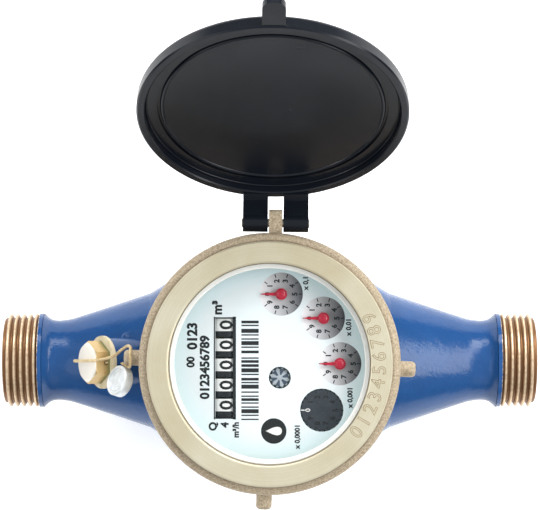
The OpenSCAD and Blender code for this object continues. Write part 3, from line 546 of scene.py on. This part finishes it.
def letters(bm, text, height, centre, turn, z, bold=0.0, outline=0.0):
    curve = bpy.data.curves.new("letters", "FONT")
    curve.body = text
    curve.size = height / capitalShare
    curve.align_x = "CENTER"
    curve.align_y = "CENTER"
    curve.resolution_u = 3
    if outline:
        curve.fill_mode = "NONE"
        curve.bevel_depth = outline
        curve.bevel_resolution = 1
    else:
        curve.extrude = printDepth / 2
        curve.offset = bold
    addCurve(bm, curve, flatPlace(centre, turn, z))


def bar(bm, centre, size, turn, z):
    # thin printed rectangle
    shape = Matrix.Diagonal((size[0], size[1], printDepth, 1))
    bmesh.ops.create_cube(bm, size=1, matrix=flatPlace(centre, turn, z) @ shape)


def disc(bm, centre, radius, segments=96):
    # round ground layer on the dial
    bmesh.ops.create_cone(bm, cap_ends=True, segments=segments, radius1=radius, radius2=radius,
                          depth=printDepth, matrix=flatPlace(centre, 0, dialTop + printDepth / 2))


def thicken(bm, depth):
    # flat faces pulled up into a closed layer
    grown = bmesh.ops.extrude_face_region(bm, geom=list(bm.faces))
    lift = [item for item in grown["geom"] if isinstance(item, bmesh.types.BMVert)]
    bmesh.ops.translate(bm, verts=lift, vec=(0, 0, depth))
    bmesh.ops.recalc_face_normals(bm, faces=bm.faces)


def smoothRoute(points, steps):
    # spline through every point of the route
    path = []
    for index in range(len(points) - 1):
        before, start = points[max(index - 1, 0)], points[index]
        end, after = points[index + 1], points[min(index + 2, len(points) - 1)]
        slope = end - before
        curve = 2 * before - 5 * start + 4 * end - after
        twist = 3 * start - before - 3 * end + after
        for step in range(steps):
            t = step / steps
            path.append(0.5 * (2 * start + slope * t + curve * t ** 2 + twist * t ** 3))
    return path + [points[-1]]


def framesOf(path):
    # each point with two directions across the path, carried along without twist
    frames = []
    across = None
    for index, point in enumerate(path):
        ahead = (path[min(index + 1, len(path) - 1)] - path[max(index - 1, 0)]).normalized()
        if across is None:
            across = ahead.orthogonal().normalized()
        across = (across - ahead * across.dot(ahead)).normalized()
        frames.append((point, across, ahead.cross(across)))
    return frames


def tubeAlong(bm, path, radius, closed=False):
    # round tube along a path, from a curve that is made a mesh
    curve = bpy.data.curves.new("tube", "CURVE")
    curve.dimensions = "3D"
    curve.bevel_depth = radius
    curve.bevel_resolution = 2
    curve.use_fill_caps = True
    line = curve.splines.new("POLY")
    line.points.add(len(path) - 1)
    for point, place in zip(line.points, path):
        point.co = (*place, 1)
    line.use_cyclic_u = closed
    addCurve(bm, curve, Matrix())


def tubeRing(bm, look, centre, normal):
    # round tube in a circle, sunk a little into the flat that carries it
    across = normal.orthogonal().normalized()
    other = normal.cross(across)
    middle = centre - normal * look["sink"]
    turns = [2 * math.pi * index / look["points"] for index in range(look["points"])]
    ring = [middle + look["radius"] * (math.cos(t) * across + math.sin(t) * other) for t in turns]
    tubeAlong(bm, ring, look["tube"], closed=True)


def upperFlat(name):
    # centre and normal of a node's largest flat among those that face up
    node = nodes[name]
    flats = {}
    for face in node.data.polygons:
        normal = (node.matrix_world.to_3x3() @ face.normal).normalized()
        centre = node.matrix_world @ face.center
        key = tuple(round(value, 2) for value in normal) + (round(normal.dot(centre), 4),)
        area, middle = flats.get(key, (0.0, Vector()))
        flats[key] = (area + face.area, middle + centre * face.area)
    best = max((key for key in flats if key[2] > 0.1), key=lambda key: flats[key][0])
    area, middle = flats[best]
    return middle / area, Vector(best[:3]).normalized()


def finishPiece(name, bm, material, body, smooth=False):
    mesh = bpy.data.meshes.new(name)
    bmesh.ops.remove_doubles(bm, verts=bm.verts, dist=0.001 * mm)
    for face in bm.faces:
        face.smooth = smooth
    for edge in bm.edges:
        edge.smooth = not edge.is_manifold or edge.calc_face_angle() < sharpAngle
    bm.to_mesh(mesh)
    bm.free()
    piece = bpy.data.objects.new(name, mesh)
    bpy.context.scene.collection.objects.link(piece)
    mesh.materials.append(material)
    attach(piece, body)
    return piece


# printed marks on the dial

smallDials = {
    "circle": 24.2 * mm, "radius": 7.45 * mm, "angles": (-42, -0.4, 40, 80.5),
    "digitRadius": 4.75 * mm, "digitHeight": 1.8 * mm, "bold": 0.1 * mm,
    "tickRadius": 6.55 * mm, "tick": (1.25 * mm, 0.34 * mm),
    "zeroBold": 0.02 * mm, "zeroTick": 1.8 * mm,
    "pale": colour(244, 244, 246), "deep": colour(62, 63, 70), "roughness": 0.5,
}
reading = math.radians(90)  # the dial is read from below to above


def smallDialMaterial(look, centre):
    # grey that deepens from left to right across one small dial
    material, tree, shader = startMaterial("smallDial")
    x, y, z = axesOf(tree, coordsOf(tree, offset=(-centre[0], -centre[1], 0)))
    shade = rangeOf(tree, x, -look["radius"], look["radius"], smooth=False)
    feed(tree, mixOf(tree, shade, look["pale"], look["deep"]), shader.inputs["Base Color"])
    setInputs(shader, {"Roughness": look["roughness"]})
    return material


def smallDialCentre(index):
    angle = math.radians(smallDials["angles"][index])
    return Vector((math.cos(angle), math.sin(angle))) * smallDials["circle"]


def markSmallDial(bm, look, centre, z, skipZero=False):
    for digit in range(10):
        angle = math.radians(180 - 36 * digit)
        out = Vector((math.cos(angle), math.sin(angle)))
        if digit or not skipZero:
            digitAt = centre + out * look["digitRadius"]
            letters(bm, str(digit), look["digitHeight"], digitAt, reading, z, look["bold"])
            bar(bm, centre + out * look["tickRadius"], look["tick"], angle, z)


for index in (1, 2, 3):
    centre = smallDialCentre(index)
    ground = bmesh.new()
    disc(ground, centre, smallDials["radius"])
    grey = smallDialMaterial(smallDials, centre)
    finishPiece("smallDial_%d" % index, ground, grey, "register")
ink = bmesh.new()
for index in (1, 2, 3):
    markSmallDial(ink, smallDials, smallDialCentre(index), inkZ + printDepth / 2)

dialWords = [
    # text, height and centre in millimetres
    ("m³", 3.3, (-18.0, 19.2)), ("x 0,1", 1.75, (12.5, 27.7)), ("x 0,01", 1.75, (27.3, 12.5)),
    ("x 0,001", 1.75, (27.8, -11.8)), ("x 0,0001", 1.75, (9.6, -25.3)), ("Q", 2.7, (-19.5, -21.8)),
    ("4", 2.6, (-15.4, -21.3)), ("m³/h", 2.1, (-11.6, -23.0)), ("0123456789", 3.2, (-22.3, -1.4)),
    ("0123", 3.4, (-26.6, 9.4)), ("00", 2.7, (-27.2, 0.4)),
]
wordWeight = 0.058  # how far strokes are widened, as a share of the height
for text, height, centre in dialWords:
    weight = wordWeight * height * mm
    letters(ink, text, height * mm, Vector(centre) * mm, reading, inkZ, weight)

stripes = {
    "x": (-9.8 * mm, -3.8 * mm), "top": 14.7 * mm, "unit": 0.47 * mm,
    # dark and bare widths in turn, from the top down
    "widths": (2, 1, 1, 2, 3, 1, 1, 2, 1, 1, 3, 1, 1, 2, 2, 3, 1, 1, 2, 1, 2, 1, 3, 1,
               1, 2, 2, 1, 1, 1, 3, 2, 1, 2, 1, 1, 2, 1, 1, 2, 1, 1, 3, 1, 1, 2, 1),
}
left, right = stripes["x"]
edge = stripes["top"]
for position, width in enumerate(stripes["widths"]):
    height = width * stripes["unit"]
    if position % 2 == 0:
        bar(ink, ((left + right) / 2, edge - height / 2), (right - left, height), 0, inkZ)
    edge -= height
finishPiece("dialInk", ink, plain["inkBlack"], "register")

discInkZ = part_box("pulse_disc")[1][2] + printDepth / 2
discCentre = smallDialCentre(0)
dark = bmesh.new()
markSmallDial(dark, smallDials, discCentre, discInkZ, skipZero=True)
finishPiece("discInk", dark, plain["inkBlack"], "pulse_disc")
zero = bmesh.new()
zeroAt = discCentre - Vector((smallDials["digitRadius"], 0))
letters(zero, "0", smallDials["digitHeight"], zeroAt, reading, discInkZ, smallDials["zeroBold"])
bar(zero, zeroAt - Vector((smallDials["zeroTick"], 0)), smallDials["tick"], 0, discInkZ)
finishPiece("discZero", zero, plain["inkWhite"], "pulse_disc")


# digits round the number drums

drumDigits = {"share": 1.0, "bold": 0.14 * mm, "widen": 1.1}


def wrapDigits(index, look):
    low, high = drumBoxes[index]
    radius = (high[2] - low[2]) / 2 + printDepth / 2
    axisX, axisZ = (low[0] + high[0]) / 2, (low[2] + high[2]) / 2
    middle = high[1] - drumLook["whiteWidth"] / 2
    height = 2 * math.pi * radius / 10 * look["share"]
    bm = bmesh.new()
    for digit in range(10):
        flat = bmesh.new()
        letters(flat, str(digit), height, (0, 0), 0, 0, look["bold"])
        for vert in flat.verts:
            # the text's height goes round the drum and its width along it
            angle = vert.co.y / radius + math.radians(36 * digit)
            out = radius + vert.co.z
            along = middle + vert.co.x * look["widen"]
            vert.co = Vector((axisX - out * math.sin(angle), along, axisZ + out * math.cos(angle)))
        mesh = bpy.data.meshes.new("digit")
        flat.to_mesh(mesh)
        flat.free()
        bm.from_mesh(mesh)
        bpy.data.meshes.remove(mesh)
    finishPiece("drumDigits_%d" % (index + 1), bm, plain["inkBlack"], drumNames[index])


for index in range(len(drumNames)):
    wrapDigits(index, drumDigits)

counter = {
    "left": -18.9 * mm, "right": -10.7 * mm, "band": (-12.75 * mm, -11.65 * mm),
    "edge": 0.4 * mm, "overrun": 0.3 * mm,
}


def frameCounter(look):
    # printed border of the counter window, with its broad band on the right; the band is the window's own
    # black frame, and the thin edges are partly painted shade, for the shadow at the window's edges
    edge, left, right = look["edge"], look["left"], look["right"]
    bandLeft, bandRight = look["band"]
    top = drumBoxes[0][1][1] + look["overrun"]
    bottom = drumBoxes[-1][0][1] - look["overrun"]
    middle = (top + bottom) / 2
    height = top - bottom + 2 * edge
    bm = bmesh.new()
    bar(bm, (left - edge / 2, middle), (edge, height), 0, inkZ)
    bar(bm, ((bandLeft + bandRight) / 2, middle), (bandRight - bandLeft, height), 0, inkZ)
    for y in (top, bottom):
        bar(bm, ((left + bandRight) / 2, y), (bandRight - left, edge), 0, inkZ)
    finishPiece("counterFrameAndShade", bm, plain["inkBlack"], "register")
    bm = bmesh.new()
    bar(bm, ((bandRight + right) / 2, middle), (right - bandRight, height + 2 * edge), 0, inkZ)
    finishPiece("counterMask", bm, dialGround, "register")


frameCounter(counter)

mark = {
    "centre": (1.4 * mm, -23.4 * mm), "radius": 4.4 * mm, "sides": 64,
    "dropLength": 2.835 * mm, "dropWidth": 2.1 * mm, "taper": 1.5, "steps": 24,
}


def dropMark(look):
    # plain round mark with a water drop in it
    x, y = look["centre"]
    bm = bmesh.new()
    disc(bm, look["centre"], look["radius"], look["sides"])
    finishPiece("markDisc", bm, plain["inkBlack"], "register")
    bm = bmesh.new()
    outline = []
    for step in range(look["steps"]):
        turn = 2 * math.pi * step / look["steps"]
        along = math.cos(turn) * look["dropLength"]
        across = math.sin(turn) * look["dropWidth"] * math.sin(turn / 2) ** look["taper"]
        outline.append(bm.verts.new((x - along, y + across, inkZ + printDepth / 2)))
    bm.faces.new(outline)
    thicken(bm, printDepth / 2)
    finishPiece("markDrop", bm, plain["inkWhite"], "register")


dropMark(mark)

hub = {"radius": 1.75 * mm, "rise": 0.75 * mm, "sink": 0.05 * mm}


def domePointer(index, look):
    # rounded cap on a pointer's flat hub
    pointer = "pointer_%d" % index
    place = flatPlace(smallDialCentre(index), 0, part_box(pointer)[1][2] - look["sink"])
    shape = Matrix.Diagonal((look["radius"], look["radius"], look["rise"], 1))
    bm = bmesh.new()
    bmesh.ops.create_uvsphere(bm, u_segments=32, v_segments=16, radius=1, matrix=place @ shape)
    finishPiece("pointerDome_%d" % index, bm, plain["pointerCrimson"], pointer, smooth=True)


for index in (1, 2, 3):
    domePointer(index, hub)

starLook = {"blades": 6, "inner": 1.0 * mm, "outer": 3.1 * mm, "share": 0.5}


def bladeStar(look):
    # dark blades on the pale flow star
    low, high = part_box("star_wheel")
    x, y = (low[0] + high[0]) / 2, (low[1] + high[1]) / 2
    inner, outer = look["inner"], look["outer"]
    step = 2 * math.pi / look["blades"]
    bm = bmesh.new()
    for blade in range(look["blades"]):
        start = step * blade
        end = start + step * look["share"]
        corners = [(inner, start), (outer, start), (outer, end), (inner, end)]
        places = [(x + r * math.cos(a), y + r * math.sin(a), high[2]) for r, a in corners]
        bm.faces.new([bm.verts.new(place) for place in places])
    thicken(bm, printDepth)
    finishPiece("starBlades", bm, plain["bladeBlue"], "star_wheel")


bladeStar(starLook)
print("dial printed")


# stamped digits on the head ring

stamp = {
    "radius": 37.6 * mm, "first": -38.0, "step": 7.0, "height": 4.7 * mm, "line": 0.13 * mm,
    "sink": 0.06 * mm,
}


def stampRing(look):
    z = faceZ - look["sink"]
    bm = bmesh.new()
    for digit in range(10):
        angle = math.radians(look["first"] + look["step"] * digit)
        centre = (look["radius"] * math.cos(angle), look["radius"] * math.sin(angle))
        letters(bm, str(digit), look["height"], centre, angle + reading, z, outline=look["line"])
    finishPiece("ringStamp", bm, plain["stampBrass"], "root", smooth=True)


stampRing(stamp)
print("ring stamped")


# pressed face of the seal button

button = {
    "radius": 3.55 * mm, "tube": 0.32 * mm, "sink": 0.08 * mm, "points": 64,
    "ridges": 5, "ridgeStep": 1.05 * mm, "ridgeShare": 0.8,
}


def pressButton(look):
    # raised rim with ridges across it
    centre, normal = upperFlat("seal_button")
    along = (Vector((0, 1, 0)) - normal * normal.y).normalized()
    across = along.cross(normal)
    bm = bmesh.new()
    tubeRing(bm, look, centre, normal)
    for ridge in range(look["ridges"]):
        shift = (ridge - (look["ridges"] - 1) / 2) * look["ridgeStep"]
        half = look["ridgeShare"] * math.sqrt(look["radius"] ** 2 - shift ** 2)
        middle = centre + across * shift - normal * look["tube"] / 2
        tubeAlong(bm, [middle - along * half, middle + along * half], look["tube"])
    bmesh.ops.recalc_face_normals(bm, faces=bm.faces)
    finishPiece("buttonPressing", bm, plain["sealMetal"], "root", smooth=True)


pressButton(button)


# beads on the lid's inner side

beads = [
    # round the inner panel, and in the corner under the rim
    {"radius": 36.7 * mm, "tube": 0.8 * mm, "sink": 0.5 * mm, "points": 160},
    {"radius": 42.0 * mm, "tube": 0.38 * mm, "sink": 0.02 * mm, "points": 160},
]


def beadLid(looks):
    centre, normal = upperFlat("lid")
    bm = bmesh.new()
    for look in looks:
        tubeRing(bm, look, centre, normal)
    bmesh.ops.recalc_face_normals(bm, faces=bm.faces)
    finishPiece("lidBead", bm, lidBlack, "lid", smooth=True)


beadLid(beads)
print("button pressed and lid beaded")


# twisted wire of the seal, laid along the solid's route

wireLook = {
    # the route's points in millimetres
    "route": [
        (-56.6, 0, 68.6), (-60.3, 0, 62.6), (-64, 0, 56.7), (-65.9, 0, 56.5), (-68.2, 0.3, 58.1),
        (-68.1, 0.4, 60.2), (-64.6, 0.6, 65.3), (-61.5, 0.8, 70.5), (-59.6, 1, 71.1), (-56.5, 1.6, 71),
        (-53.5, 2.8, 72), (-51, 4.8, 73), (-49, 6, 74.6), (-47.9, 5.4, 76.5), (-47.9, 3.8, 78.8),
        (-47.9, 1, 79.1), (-48.1, -1, 77.3), (-48.8, -1.2, 75), (-50.2, -0.5, 73), (-51.2, 0, 71.9),
    ],
    "strands": 2, "strand": 0.28 * mm, "offset": 0.31 * mm, "twist": 1.9 * mm, "steps": 20,
}


def twistWire(look):
    path = smoothRoute([Vector(point) * mm for point in look["route"]], look["steps"])
    frames = framesOf(path)
    bm = bmesh.new()
    for strand in range(look["strands"]):
        run = 0.0
        centres = []
        for index, (point, across, other) in enumerate(frames):
            run += (point - path[max(index - 1, 0)]).length
            turn = 2 * math.pi * (run / look["twist"] + strand / look["strands"])
            centres.append(point + look["offset"] * (math.cos(turn) * across + math.sin(turn) * other))
        tubeAlong(bm, centres, look["strand"])
    bmesh.ops.recalc_face_normals(bm, faces=bm.faces)
    wire = finishPiece("twistedWire", bm, plain["wireMetal"], "root", smooth=True)
    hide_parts("seal_wire")


twistWire(wireLook)
print("seal wire twisted")


# painted flare between each cone and its collar

flare = {
    # distance along the pipe and radius about its axis, in millimetres
    "outer": [(57, 19.5), (60, 18.53), (64, 17.22), (68, 15.94), (71.5, 14.9), (74.5, 14.46),
              (76.5, 14.4), (78.3, 14.75), (79.7, 15.6), (80.9, 16.85)],
    "inner": [(80.5, 13.3), (70, 14.2), (57.2, 18.9)], "steps": 4, "sides": 128, "merge": 0.01 * mm,
}


def flareNeck(name, side, look):
    bm = bmesh.new()
    outer = smoothRoute([Vector((x, 0, r)) for x, r in look["outer"]], look["steps"])
    profile = outer + [Vector((x, 0, r)) for x, r in look["inner"]]
    axis = Vector((0, 0, pipeZ))
    verts = [bm.verts.new(Vector((side * point.x, 0, point.z)) * mm + axis) for point in profile]
    edges = [bm.edges.new((verts[k], verts[(k + 1) % len(verts)])) for k in range(len(verts))]
    bmesh.ops.spin(bm, geom=verts + edges, cent=axis, axis=(1, 0, 0), angle=2 * math.pi,
                   steps=look["sides"], use_merge=True)
    bmesh.ops.remove_doubles(bm, verts=bm.verts, dist=look["merge"])
    bmesh.ops.recalc_face_normals(bm, faces=bm.faces)
    finishPiece(name, bm, blueOverBrass, "root", smooth=True)


flareNeck("neckFlare_left", -1, flare)
flareNeck("neckFlare_right", 1, flare)
print("necks flared")


# floor, lights and camera

floorLook = {"size": 3.0, "grey": (0.92, 0.92, 0.92, 1), "roughness": 0.9, "glow": 0.42}
skyLook = {"horizon": 0.12, "zenith": 0.62, "fullHeight": 0.8, "tint": (0.93, 0.97, 1, 1)}
lamps = {
    # places and sizes in metres, power in watts
    "rightSoftBox": dict(place=(0.6, 0.2, 0.75), target=(0.06, 0.0, 0.05), size=(1.5, 0.32), power=10.5),
    "leftSoftBox": dict(place=(-0.7, -0.25, 0.7), target=(0, 0.03, 0.05), size=(0.6, 0.6), power=1.3),
    "leftStrip": dict(place=(-0.6, 0.6, 0.65), target=(-0.06, 0.01, 0.05), size=(0.35, 0.03), power=0.14),
    "topSoftBox": dict(place=(0.0, 1.1, 0.8), target=(0, 0.02, 0.05), size=(1.4, 0.4), power=11),
    "frontSoftBox": dict(place=(0.1, -0.9, 0.6), target=(0, 0.05, 0.08), size=(0.8, 0.5), power=0.5),
    "lidStrip": dict(place=(-0.86, 0.06, 0.62), target=(0, 0.08, 0.11), size=(0.5, 0.15), power=2.2),
}
shot = {
    "centre": (0.1 * mm, 37.2 * mm), "distance": 900 * mm, "frameWidth": 194.8 * mm, "sensor": 36.0,
    "lean": math.radians(0.8),
}


def makeFloor(look):
    bm = bmesh.new()
    bmesh.ops.create_grid(bm, x_segments=1, y_segments=1, size=look["size"])
    mesh = bpy.data.meshes.new("floor")
    bm.to_mesh(mesh)
    bm.free()
    floor = bpy.data.objects.new("floor", mesh)
    bpy.context.scene.collection.objects.link(floor)
    material, tree, shader = startMaterial("paleFloor")
    setInputs(shader, {"Base Color": look["grey"], "Roughness": look["roughness"]})
    setInputs(shader, {"Emission Color": (1, 1, 1, 1), "Emission Strength": look["glow"]})
    mesh.materials.append(material)


def lightSky(look):
    # dim all round and bright overhead, as under a large diffuser
    world = bpy.data.worlds.new("studio")
    bpy.context.scene.world = world
    world.use_nodes = True
    tree = world.node_tree
    x, y, z = axesOf(tree, addNode(tree, "ShaderNodeTexCoord").outputs["Generated"])
    strength = rangeOf(tree, z, 0.0, look["fullHeight"], look["horizon"], look["zenith"])
    feed(tree, strength, tree.nodes["Background"].inputs["Strength"])
    setInputs(tree.nodes["Background"], {"Color": look["tint"]})


def softBox(name, place, target, size, power):
    light = bpy.data.lights.new(name, "AREA")
    light.shape = "RECTANGLE"
    light.size, light.size_y = size
    light.energy = power
    lamp = bpy.data.objects.new(name, light)
    lamp.location = place
    lamp.rotation_euler = (Vector(target) - Vector(place)).to_track_quat("-Z", "Y").to_euler()
    bpy.context.scene.collection.objects.link(lamp)


def makeCamera(look):
    camera = bpy.data.cameras.new("camera")
    camera.sensor_width = look["sensor"]
    camera.lens = look["sensor"] * look["distance"] / look["frameWidth"]
    holder = bpy.data.objects.new("camera", camera)
    # the view leans a little from the front, about a point level with the ring's face
    reach = pipeZ + look["distance"] - faceZ
    x, y = look["centre"]
    holder.location = (x, y - reach * math.sin(look["lean"]), faceZ + reach * math.cos(look["lean"]))
    holder.rotation_euler = (look["lean"], 0, 0)
    bpy.context.scene.collection.objects.link(holder)
    bpy.context.scene.camera = holder


makeFloor(floorLook)
lightSky(skyLook)
for name, lamp in lamps.items():
    softBox(name, **lamp)
makeCamera(shot)
bpy.context.scene.view_settings.view_transform = "Standard"
print("stage set")
